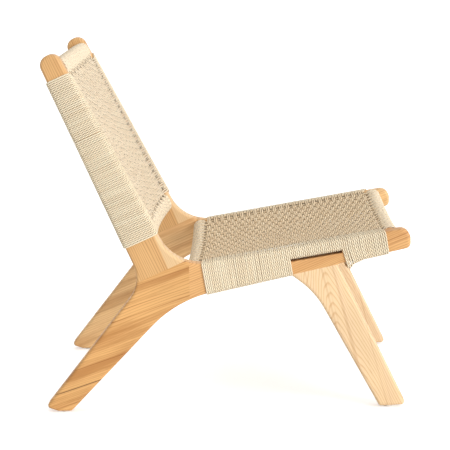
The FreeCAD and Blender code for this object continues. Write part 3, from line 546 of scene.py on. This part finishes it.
def back_weft(index):
    """A weft of the back from the right frame to the left one, and its hollows."""
    up = BACK_IN[index]
    middle = back_middle(up)
    top = post_front(up) + HALF_CORD - middle
    places = (weft_end(index, -1, top) + weft_wave(index, BACK_SWING)
              + weft_end(index, 1, top)[::-1])
    path = [spot(aside, *post_point(up + beside_pair(index, apart),
                                    middle - max(0, bow(aside, up)) + swing))
            for aside, swing, apart in places]
    return path, [weft_painted_shade(aside, swing) for aside, swing, apart in places]


def back_rail_section(up, inset, aside):
    """Corners of a turn round a cross rail of the back, up and across the post."""
    back = inset - bow(aside, up) - HALF_CORD
    front = inset + BACK_RAIL_DEPTH - bow(aside, up) + HALF_CORD
    low = up - HALF_CORD
    high = up + RAIL_HEIGHT + HALF_CORD
    return [(high, front), (low, front), (low, back), (high, back)]


def back_rail_turn(up, inset, aside):
    return closed_turn(back_rail_section(up, inset, aside),
                       lambda high, across: spot(aside, *post_point(high, across)))


def back_warp(pair, aside):
    """A warp cord: round the lower rail, through the weft, and round the upper rail."""
    low = back_rail_section(LOWER_RAIL_UP, LOWER_RAIL_INSET, aside)
    high = back_rail_section(UPPER_RAIL_UP, UPPER_RAIL_INSET, aside)

    def across(up, swing):
        return back_middle(up) - bow(aside, up) + swing

    lower_top = LOWER_RAIL_UP + RAIL_HEIGHT
    lower = [(lower_top + WARP_TUCK, across(lower_top + WARP_TUCK, WARP_TUCK_LOW)),
             (lower_top + HALF_CORD, across(lower_top, WARP_RISES)), low[3], low[2], low[1],
             (lower_top - WARP_LEAVES, low[0][1])]
    upper = [(UPPER_RAIL_UP + WARP_LEAVES, high[0][1]), high[0], high[3], high[2],
             (UPPER_RAIL_UP - HALF_CORD, across(UPPER_RAIL_UP, WARP_RISES)),
             (UPPER_RAIL_UP - WARP_TUCK, across(UPPER_RAIL_UP - WARP_TUCK, WARP_TUCK_LOW))]
    lower = [spot(aside, *post_point(*place)) for place in lower]
    upper = [spot(aside, *post_point(*place)) for place in upper]
    return (bent(lower, [TAIL_ROUND] + [RAIL_CORNER] * 3, RAIL_STEPS)
            + through_weft(pair, BACK_IN,
                           lambda up, swing: spot(aside, *post_point(up, across(up, swing))))
            + bent(upper, [RAIL_CORNER] * 3 + [TAIL_ROUND], RAIL_STEPS))


# Materials

# Ash. Its patterns change so often in a metre: through the board, along the grain and across it.
# In each ring the open early wood fades out, and the late wood sets in. The vein fades from its
# middle, across and along.
WAVER_SCALE = (9, 1.1, 9)
FIGURE_SCALE = (14, 1.6, 34)
STREAK_SCALE = (30, 1.3, 150)
PORE_SCALE = (900, 45, 900)
CLOUD_SCALE = 7
EARLY_WOOD = 0.22
LATE_WOOD = 0.72
LATE_STRENGTH = 0.75
VEIN_ACROSS = (0.0004, 0.0014)
VEIN_ALONG = (0.045, 0.07)
PORE_SHARE = 0.35
DARKER = (0.66, 0.52, 0.42, 1)
CLOUD_LIGHT = (0.94, 1.05)
ASH_ROUGH = (0.48, 0.6)

# Paper cord: its plies, the length of one whole turn of its twist in metres, how often its fibre
# and its tone change in a metre, the strength of flecks and of the painted shade in the grooves
# in light and dark tone, and how the grooves break up the painted shade in the hollows
PLIES = 3
CORD_LAY = 0.025
FIBRE_SCALE = 60
TONE_SCALE = 3
FLECK_SHARE = 0.2
GROOVE_SHADE_STRENGTH = (0.55, 1.05)
PAINTED_SHADE_BREAK = (0.4, 3.5)
CORD_ROUGH = (0.72, 0.86)


def paint(red, green, blue):
    """A colour given as it looks on a screen, as the shader takes it."""
    linear = [channel / 255 / 12.92 if channel <= 10 else ((channel / 255 + 0.055) / 1.055) ** 2.4
              for channel in (red, green, blue)]
    return (*linear, 1)


class Nodes:
    """Short ways to put nodes in a tree and join them."""

    def __init__(self, tree):
        self.tree = tree

    def add(self, kind, inputs=None, **settings):
        node = self.tree.nodes.new(kind)
        for name, value in settings.items():
            setattr(node, name, value)
        for name, value in (inputs or {}).items():
            self.put(node.inputs[name], value)
        return node

    def put(self, socket, value):
        if isinstance(value, bpy.types.NodeSocket):
            self.tree.links.new(value, socket)
        else:
            socket.default_value = value

    def math(self, operation, first, second=0.0, clamp=False):
        node = self.add("ShaderNodeMath", operation=operation, use_clamp=clamp)
        self.put(node.inputs[0], first)
        self.put(node.inputs[1], second)
        return node.outputs[0]

    def mix(self, share, first, second, blend="MIX"):
        node = self.add("ShaderNodeMix", data_type="RGBA", blend_type=blend)
        self.put(node.inputs[0], share)
        self.put(node.inputs[6], first)
        self.put(node.inputs[7], second)
        return node.outputs[2]

    def span(self, value, low, high, start=0.0, end=1.0):
        node = self.add("ShaderNodeMapRange", {"Value": value, "From Min": low, "From Max": high,
                                               "To Min": start, "To Max": end})
        return node.outputs[0]

    def noise(self, vector, scale, detail=2.0, rough=0.5):
        node = self.add("ShaderNodeTexNoise", {"Vector": vector, "Scale": scale, "Detail": detail,
                                               "Roughness": rough})
        return node.outputs[0]

    def stretched(self, vector, factors):
        """The place in a pattern that is squeezed or drawn out along each axis."""
        return self.add("ShaderNodeVectorMath", {0: vector, 1: factors},
                        operation="MULTIPLY").outputs[0]

    def seen_directly(self):
        """1 for a ray from the camera, or for one that is mirrored or goes through glass."""
        rays = self.add("ShaderNodeLightPath").outputs
        return self.math("MAXIMUM", rays["Is Camera Ray"],
                         self.math("MAXIMUM", rays["Is Glossy Ray"], rays["Is Transmission Ray"]))


def new_group(name, inputs, outputs):
    """A node group. Inputs are names with their values, or with None for a place."""
    group = bpy.data.node_groups.new(name, "ShaderNodeTree")
    for label, value in inputs:
        kind = "NodeSocketVector" if value is None else "NodeSocketFloat"
        socket = group.interface.new_socket(label, in_out="INPUT", socket_type=kind)
        if value is not None:
            socket.default_value = value
    for label in outputs:
        group.interface.new_socket(label, in_out="OUTPUT", socket_type="NodeSocketFloat")
    nodes = Nodes(group)
    given = nodes.add("NodeGroupInput").outputs
    out = nodes.add("NodeGroupOutput").inputs
    return group, nodes, given, out


def ash_grain_group():
    """Growth rings of a sawn board, broad figure, streaks, open pores and one dark vein. Y goes
    along the grain. The heart of the log lies behind the board's outer face, at Z = 0, and the
    vein at Z = Offset, near Y = 0. All are masks from 0 to 1."""
    group, nodes, given, out = new_group(
        "ash_grain",
        [("Vector", None), ("Ring", 0.005), ("Heart", 0.03), ("Arch", 0.1), ("Waver", 0.004),
         ("Offset", 0.25), ("Board", 0.0)],
        ["Lines", "Figure", "Pores", "Cloud", "Streaks", "Vein"])
    place = given["Vector"]
    split = nodes.add("ShaderNodeSeparateXYZ", {"Vector": place}).outputs

    long_way = nodes.stretched(place, WAVER_SCALE)
    waver = nodes.math("SUBTRACT", nodes.noise(long_way, 1.6, 3.0), 0.5)
    waver = nodes.math("MULTIPLY", waver, nodes.math("MULTIPLY", given["Waver"], 6.0))
    inward = nodes.math("SUBTRACT", nodes.math("ABSOLUTE", split["X"]), OUTER * MM)
    thick = nodes.math("ADD", inward, given["Heart"])
    from_heart = nodes.math("SQRT", nodes.math(
        "ADD", nodes.math("MULTIPLY", thick, thick),
        nodes.math("MULTIPLY", split["Z"], split["Z"])))
    rings = nodes.math("ADD", from_heart, nodes.math("MULTIPLY", split["Y"], given["Arch"]))
    rings = nodes.math("DIVIDE", nodes.math("ADD", rings, waver), given["Ring"])
    uneven = nodes.math("MULTIPLY", nodes.noise(long_way, 3.0), 3.0)
    saw = nodes.math("FRACT", nodes.math("ADD", rings, uneven))
    early = nodes.span(saw, 0.0, EARLY_WOOD, 1.0, 0.0)
    late = nodes.span(saw, LATE_WOOD, 1.0, 0.0, LATE_STRENGTH)
    nodes.put(out["Lines"], nodes.math("MAXIMUM", early, late))

    board = nodes.add("ShaderNodeCombineXYZ", {"Z": given["Board"]}).outputs[0]
    broad = nodes.add("ShaderNodeVectorMath", {0: place, 1: FIGURE_SCALE, 2: board},
                      operation="MULTIPLY_ADD").outputs[0]
    nodes.put(out["Figure"], nodes.span(nodes.noise(broad, 1.0, 6.0, 0.7), 0.44, 0.64))

    pores = nodes.span(nodes.noise(nodes.stretched(place, PORE_SCALE), 1.0), 0.56, 0.7)
    in_early = nodes.math("ADD", nodes.math("MULTIPLY", early, 0.8), 0.2)
    nodes.put(out["Pores"], nodes.math("MULTIPLY", pores, in_early))
    nodes.put(out["Cloud"], nodes.noise(place, CLOUD_SCALE))
    narrow = nodes.stretched(place, STREAK_SCALE)
    nodes.put(out["Streaks"], nodes.span(nodes.noise(narrow, 1.0), 0.58, 0.66))

    across = nodes.math("ADD", nodes.math("SUBTRACT", split["Z"], given["Offset"]),
                        nodes.math("MULTIPLY", waver, 0.5))
    thin = nodes.span(nodes.math("ABSOLUTE", across), *VEIN_ACROSS, 1.0, 0.0)
    near = nodes.span(nodes.math("ABSOLUTE", split["Y"]), *VEIN_ALONG, 1.0, 0.0)
    nodes.put(out["Vein"], nodes.math("MULTIPLY", thin, near))
    return group


def cord_twist_group():
    """The plies of a twisted paper cord, from a UV in metres along it and round it. Lay is the
    length of one whole turn of the twist."""
    group, nodes, given, out = new_group("paper_cord_twist", [("Lay", CORD_LAY)],
                                         ["Groove", "Height", "Tone", "Fibre"])
    place = nodes.add("ShaderNodeUVMap").outputs[0]
    split = nodes.add("ShaderNodeSeparateXYZ", {"Vector": place}).outputs
    turn = nodes.math("ADD", nodes.math("DIVIDE", split["X"], given["Lay"]), split["Y"])
    plies = nodes.math("MULTIPLY", turn, PLIES)
    edge = nodes.math("MULTIPLY", nodes.math("FRACT", plies), 2.0)
    edge = nodes.math("ABSOLUTE", nodes.math("SUBTRACT", edge, 1.0))
    nodes.put(out["Groove"], nodes.math("POWER", edge, 4.0))

    crown = nodes.math("SUBTRACT", 1.0, nodes.math("POWER", edge, 2.5))
    along = nodes.add("ShaderNodeCombineXYZ", {
        "X": nodes.math("MULTIPLY", split["X"], FIBRE_SCALE), "Y": plies}).outputs[0]
    fibre = nodes.noise(along, 6.0)
    nodes.put(out["Fibre"], fibre)
    nodes.put(out["Height"], nodes.math("ADD", crown, nodes.math("MULTIPLY", fibre, 0.25)))
    slow = nodes.add("ShaderNodeCombineXYZ", {
        "X": nodes.math("MULTIPLY", split["X"], TONE_SCALE)}).outputs[0]
    nodes.put(out["Tone"], nodes.noise(slow, 2.0, 1.0))
    return group


ASH_GRAIN = ash_grain_group()
CORD_TWIST = cord_twist_group()
VEIN_BROWN = paint(96, 62, 30)


def new_material(name):
    material = bpy.data.materials.new(name)
    material.use_nodes = True
    nodes = Nodes(material.node_tree)
    shader = material.node_tree.nodes["Principled BSDF"]
    return material, nodes, shader


def ash(name, angle, through, base, line, figure, ring=0.005, heart=0.05, arch=0.0, waver=0.003,
        lines=0.55, bands=0.5, streaks=0.4, vein=0.0, offset=0.25, board=0.0):
    """Oiled ash. The angle is the grain's, from level towards the front of the chair. Through is
    a point of the board, by run and rise. The offset says how far it lies from the middle of the
    log, in metres: at 0 the grain shows arches, and far out it runs straight. Ring is the rings'
    spacing. Lines, bands, streaks and vein say how strong these marks are, and board gives a
    board a figure of its own."""
    material, nodes, shader = new_material(name)
    place = nodes.add("ShaderNodeTexCoord").outputs["Object"]
    lean = math.radians(angle)
    back = (HALF_DEPTH - through[0]) * MM
    height = through[1] * MM
    turned = nodes.add("ShaderNodeMapping", {
        "Vector": place, "Rotation": (lean, 0, 0),
        "Location": (0, height * math.sin(lean) - back * math.cos(lean),
                     offset - back * math.sin(lean) - height * math.cos(lean))}).outputs[0]
    marks = nodes.add("ShaderNodeGroup", {
        "Vector": turned, "Ring": ring, "Heart": heart, "Arch": arch, "Waver": waver,
        "Offset": offset, "Board": board}, node_tree=ASH_GRAIN).outputs

    colour = nodes.mix(nodes.math("MULTIPLY", marks["Figure"], bands), base, figure)
    colour = nodes.mix(nodes.math("MULTIPLY", marks["Lines"], lines), colour, line)
    dark = nodes.mix(1.0, colour, DARKER, "MULTIPLY")
    colour = nodes.mix(nodes.math("MULTIPLY", marks["Streaks"], streaks), colour, dark)
    colour = nodes.mix(nodes.math("MULTIPLY", marks["Pores"], PORE_SHARE), colour, dark)
    colour = nodes.mix(nodes.math("MULTIPLY", marks["Vein"], vein), colour, VEIN_BROWN)
    light = nodes.span(marks["Cloud"], 0.3, 0.7, *CLOUD_LIGHT)
    tone = nodes.add("ShaderNodeCombineXYZ", {"X": light, "Y": light, "Z": light}).outputs[0]
    nodes.put(shader.inputs["Base Color"], nodes.mix(1.0, colour, tone, "MULTIPLY"))
    nodes.put(shader.inputs["Roughness"], nodes.span(marks["Lines"], 0.0, 1.0, *ASH_ROUGH))

    sunk = nodes.math("ADD", nodes.math("MULTIPLY", marks["Lines"], 0.3), marks["Pores"])
    bump = nodes.add("ShaderNodeBump", {"Strength": 0.18, "Distance": 0.0004,
                                        "Height": nodes.math("SUBTRACT", 1.0, sunk)})
    nodes.put(shader.inputs["Normal"], bump.outputs[0])
    shader.inputs["Specular IOR Level"].default_value = 0.35
    return material


def paper_cord(name, light, dark, fleck_and_groove_shade, shadow):
    """Twisted paper cord, light and dark by turns along it. Its flecks share one colour with the
    painted shade in its grooves. Where the mesh gives it painted shade, it goes towards the
    shadow's colour, which the twist breaks up, most in the grooves."""
    material, nodes, shader = new_material(name)
    marks = nodes.add("ShaderNodeGroup", node_tree=CORD_TWIST).outputs
    colour = nodes.mix(nodes.span(marks["Tone"], 0.3, 0.7), light, dark)
    flecks = nodes.math("MULTIPLY", nodes.span(marks["Fibre"], 0.45, 0.75), FLECK_SHARE)
    colour = nodes.mix(flecks, colour, fleck_and_groove_shade)
    strong = nodes.span(marks["Tone"], 0.35, 0.65, *GROOVE_SHADE_STRENGTH)
    colour = nodes.mix(nodes.math("MULTIPLY", marks["Groove"], strong), colour, fleck_and_groove_shade)
    painted_shade = nodes.add("ShaderNodeAttribute", attribute_name="painted_shade").outputs["Fac"]
    broken = nodes.span(marks["Groove"], 0.0, 1.0, *PAINTED_SHADE_BREAK)
    colour = nodes.mix(nodes.math("MULTIPLY", painted_shade, broken, clamp=True), colour, shadow)
    nodes.put(shader.inputs["Base Color"], colour)
    nodes.put(shader.inputs["Roughness"], nodes.span(marks["Fibre"], 0.3, 0.7, *CORD_ROUGH))
    bump = nodes.add("ShaderNodeBump", {"Strength": 0.6, "Distance": 0.0006,
                                        "Height": marks["Height"]})
    nodes.put(shader.inputs["Normal"], bump.outputs[0])
    shader.inputs["Specular IOR Level"].default_value = 0.25
    return material


def plain(name, colour, mark, scale, rough, metallic=0.0):
    """A plain finish with fine marks in its colour and gloss."""
    material, nodes, shader = new_material(name)
    place = nodes.add("ShaderNodeTexCoord").outputs["Object"]
    cloud = nodes.noise(place, scale, 4.0, 0.6)
    nodes.put(shader.inputs["Base Color"], nodes.mix(nodes.span(cloud, 0.35, 0.7), colour, mark))
    nodes.put(shader.inputs["Roughness"], nodes.span(cloud, 0.3, 0.7, rough - 0.08, rough + 0.08))
    bump = nodes.add("ShaderNodeBump", {"Strength": 0.1, "Distance": 0.0002, "Height": cloud})
    nodes.put(shader.inputs["Normal"], bump.outputs[0])
    shader.inputs["Metallic"].default_value = metallic
    return material


# Finishes

REAR_LEG_ASH = ash("rear_leg_ash", 18.6, (73, 57.3), paint(224, 173, 110), paint(188, 133, 74),
                   paint(176, 119, 62), ring=0.005, waver=0.006, lines=0.75, bands=0.85,
                   streaks=0.9, vein=1.0, board=7.9)
# The far rear leg is a board of its own, and painted lighter than the near one: painted light on
# its inner face, which the near frame shades.
FAR_LEG_ASH = ash("far_leg_ash", 22, (110, 160), paint(242, 200, 144), paint(210, 157, 100),
                  paint(192, 138, 86), ring=0.0052, waver=0.005, lines=0.6, bands=0.8, streaks=0.5)
POST_ASH = ash("post_ash", 113.5, (150, 420), paint(218, 173, 117), paint(174, 123, 70),
               paint(200, 152, 96), ring=0.005, waver=0.004, lines=0.8, bands=0.4, streaks=0.4)
WING_ASH = ash("wing_ash", 113.5, (230, 350), paint(227, 192, 145), paint(206, 162, 109),
               paint(218, 178, 126), ring=0.0048, waver=0.002, lines=0.5, bands=0.3, streaks=0.2)
RAIL_ASH = ash("rail_ash", 22, (600, 330), paint(224, 174, 115), paint(180, 122, 66),
               paint(196, 138, 80), ring=0.0048, waver=0.005, lines=0.75, bands=0.5, streaks=0.7)
FAR_RAIL_ASH = ash("far_rail_ash", 20, (600, 330), paint(228, 188, 133), paint(192, 144, 88),
                   paint(194, 145, 90), ring=0.005, waver=0.005, lines=0.65, bands=0.5,
                   streaks=0.6)
FRONT_LEG_ASH = ash("front_leg_ash", 103.5, (580, 297.5), paint(234, 203, 160),
                    paint(200, 149, 92), paint(236, 202, 170), ring=0.005, heart=0.011,
                    arch=-0.25, waver=0.004, lines=0.55, bands=0.5, streaks=0.35, offset=0)
CROSS_ASH = ash("cross_rail_ash", 9, (500, 330), paint(234, 186, 130), paint(214, 160, 100),
                paint(214, 160, 100))
DOWEL_BEECH = ash("dowel_beech", 0, (500, 330), paint(222, 178, 130), paint(206, 158, 108),
                  paint(206, 158, 108), ring=0.003)
# One paper cord in four paints. The back's and the seat's are darker than the frames' turns:
# painted shade for the less light on the woven back and seat. The third colour of each is the
# painted shade in its ply grooves, and the last the shadow colour of its painted hollows.
CORD_TURNS = paper_cord("paper_cord_turns", paint(255, 243, 215), paint(255, 236, 203),
                        paint(124, 92, 60), paint(56, 38, 22))
CROSS_TURNS = paper_cord("paper_cord_cross_turns", paint(248, 234, 208), paint(245, 228, 199),
                         paint(172, 142, 108), paint(56, 38, 22))
BACK_CORD = paper_cord("paper_cord_back", paint(247, 233, 208), paint(245, 226, 197),
                       paint(150, 116, 82), paint(30, 18, 8))
SEAT_CORD = paper_cord("paper_cord_seat", paint(255, 236, 203), paint(255, 230, 192),
                       paint(148, 110, 76), paint(26, 15, 8))
TACK_STEEL = plain("tack_steel", paint(150, 152, 156), paint(110, 112, 118), scale=900,
                   rough=0.35, metallic=1.0)
GLIDE_NYLON = plain("glide_nylon", paint(236, 233, 226), paint(222, 218, 208), scale=500,
                    rough=0.45)

# The first ending that a node's name has gives its finish
NODE_FINISHES = [
    ("rear_leg_glide", GLIDE_NYLON), ("front_leg_glide", GLIDE_NYLON), ("cord_tacks", TACK_STEEL),
    ("dowels", DOWEL_BEECH), ("right_rear_leg", REAR_LEG_ASH), ("left_rear_leg", FAR_LEG_ASH),
    ("back_post", POST_ASH), ("post_wing", WING_ASH), ("front_leg", FRONT_LEG_ASH),
    ("right_seat_rail", RAIL_ASH), ("left_seat_rail", FAR_RAIL_ASH), ("_rail", CROSS_ASH),
]

for node_name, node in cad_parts.items():
    for ending, finish in NODE_FINISHES:
        if node_name.endswith(ending):
            node.data.materials.clear()
            node.data.materials.append(finish)
            break


# Turns on the side frames

def seat_level(point):
    """How high a point lies over the slope of the seat."""
    run = HALF_DEPTH - point.y / MM
    return (point.z / MM - rail_top(run)) * math.cos(SEAT_ANGLE)


def back_level(point):
    """How far a point lies in front of the middle of the woven back at the side frames."""
    run = HALF_DEPTH - point.y / MM - POST_CORNER[0]
    rise = point.z / MM - POST_CORNER[1]
    up = rise * math.cos(POST_ANGLE) - run * math.sin(POST_ANGLE)
    return run * math.cos(POST_ANGLE) + rise * math.sin(POST_ANGLE) - back_middle(up)


# Each turn is painted darker where it runs inside the frame, from a height under the weave up, as
# painted shade.
for side_name, side in (("right", -1), ("left", 1)):
    turns = [seat_turn(index, side) for index in range(SEAT_STRANDS)]
    finished(wound(f"{side_name}_seat_turns", turns, ALONG_SEAT,
                   [turn_painted_shade(path, seat_level) for path in turns]), CORD_TURNS,
             [f"{side_name}_seat_wrap_{part}" for part in ("rear", "strip", "front")])
    turns = [back_turn(index, side) for index in range(BACK_STRANDS)]
    finished(wound(f"{side_name}_post_turns", turns, ALONG_POST,
                   [turn_painted_shade(path, back_level) for path in turns]), CORD_TURNS,
             [f"{side_name}_post_wrap"])

# Woven seat and back

for panel, cord, weft, strands, warp, along in (
        ("seat", SEAT_CORD, seat_weft, SEAT_STRANDS, seat_warp, ALONG_SEAT),
        ("back", BACK_CORD, back_weft, BACK_STRANDS, back_warp, ALONG_POST)):
    paths, painted_shades = zip(*[weft(index) for index in range(strands)])
    finished(wound(panel + "_wefts", paths, along, painted_shades), cord,
             [panel + "_weave"])
    paths = [warp(pair, aside) for pair, asides in enumerate(WARPS) for aside in asides]
    # The warps are painted a little darker all along, as painted shade.
    painted_shades = [[WARP_PAINTED_SHADE] * len(path) for path in paths]
    finished(wound(panel + "_warps", paths, ASIDE, painted_shades), cord,
             [panel + "_weave"])

# Turns that fill the cross rails between the warps

FILL_PLACES = [rail_place(turn) for turn in range(RAIL_TURNS)
               if (turn - WARP_FIRST) % WARP_EVERY > 1]
# The rear seat rail's turns are painted darker all along, as painted shade; the other rails' turns
# get painted shade only at their sides.
for rail, deep, turn_at in (
        ("rear_seat_rail", REAR_RAIL_PAINTED_SHADE,
         lambda aside: seat_rail_turn(REAR_RAIL_RUN, aside)),
        ("front_seat_rail", 0,
         lambda aside: seat_rail_turn(FRONT_RAIL_RUN, aside)),
        ("lower_back_rail", 0,
         lambda aside: back_rail_turn(LOWER_RAIL_UP, LOWER_RAIL_INSET, aside)),
        ("upper_back_rail", 0,
         lambda aside: back_rail_turn(UPPER_RAIL_UP, UPPER_RAIL_INSET, aside))):
    paths = [turn_at(aside) for aside in FILL_PLACES]
    painted_shades = [[deep] * len(path) for path in paths]
    finished(wound(rail + "_turns", paths, ASIDE, painted_shades, closed=True), CROSS_TURNS,
             [rail + "_wrap"])


# Floor, light and camera

deselect()
bpy.ops.mesh.primitive_plane_add(size=120, location=(0, 0, 0))
floor = bpy.context.object
floor.name = "floor"
floor_white, floor_nodes, floor_shader = new_material("floor_white")
floor_shader.inputs["Base Color"].default_value = (0.9, 0.9, 0.9, 1)
floor_shader.inputs["Roughness"].default_value = 1
floor_shader.inputs["Specular IOR Level"].default_value = 0
floor_shader.inputs["Emission Color"].default_value = (1, 1, 1, 1)
floor_nodes.put(floor_shader.inputs["Emission Strength"],
                floor_nodes.math("MULTIPLY", floor_nodes.seen_directly(), 0.5))
floor.data.materials.append(floor_white)

world = bpy.data.worlds.new("studio")
bpy.context.scene.world = world
world.use_nodes = True
sky = Nodes(world.node_tree)
background = world.node_tree.nodes["Background"]
background.inputs["Color"].default_value = (1, 1, 1, 1)
sky.put(background.inputs["Strength"], sky.span(sky.seen_directly(), 0.0, 1.0, 0.55, 1.0))


def sun(name, azimuth, elevation, strength, softness):
    """A soft lamp from a side: azimuth 0 is the front of the chair, 90 the sitter's left."""
    lamp = bpy.data.lights.new(name, "SUN")
    lamp.energy = strength
    lamp.angle = math.radians(softness)
    holder = bpy.data.objects.new(name, lamp)
    bpy.context.collection.objects.link(holder)
    turned, raised = math.radians(azimuth), math.radians(elevation)
    towards = Vector((math.sin(turned) * math.cos(raised), -math.cos(turned) * math.cos(raised),
                      math.sin(raised)))
    holder.rotation_euler = towards.to_track_quat("Z", "Y").to_euler()
    holder.location = towards * 5


sun("key_light", azimuth=315, elevation=13, strength=2.3, softness=30)
sun("fill_light", azimuth=60, elevation=40, strength=0.2, softness=60)
sun("top_light", azimuth=0, elevation=78, strength=0.7, softness=60)

# The camera's lens, place and turn were solved from points of the chair in the photograph
lens = bpy.data.cameras.new("camera")
lens.lens = 146.5
lens.sensor_width = 36
lens.clip_end = 200
camera = bpy.data.objects.new("camera", lens)
bpy.context.collection.objects.link(camera)
camera.location = (-4.0374, -0.0525, 0.9992)
camera.rotation_euler = [math.radians(angle) for angle in (80.7687, 1.1385, -89.3513)]
bpy.context.scene.camera = camera

bpy.context.scene.view_settings.view_transform = "Standard"
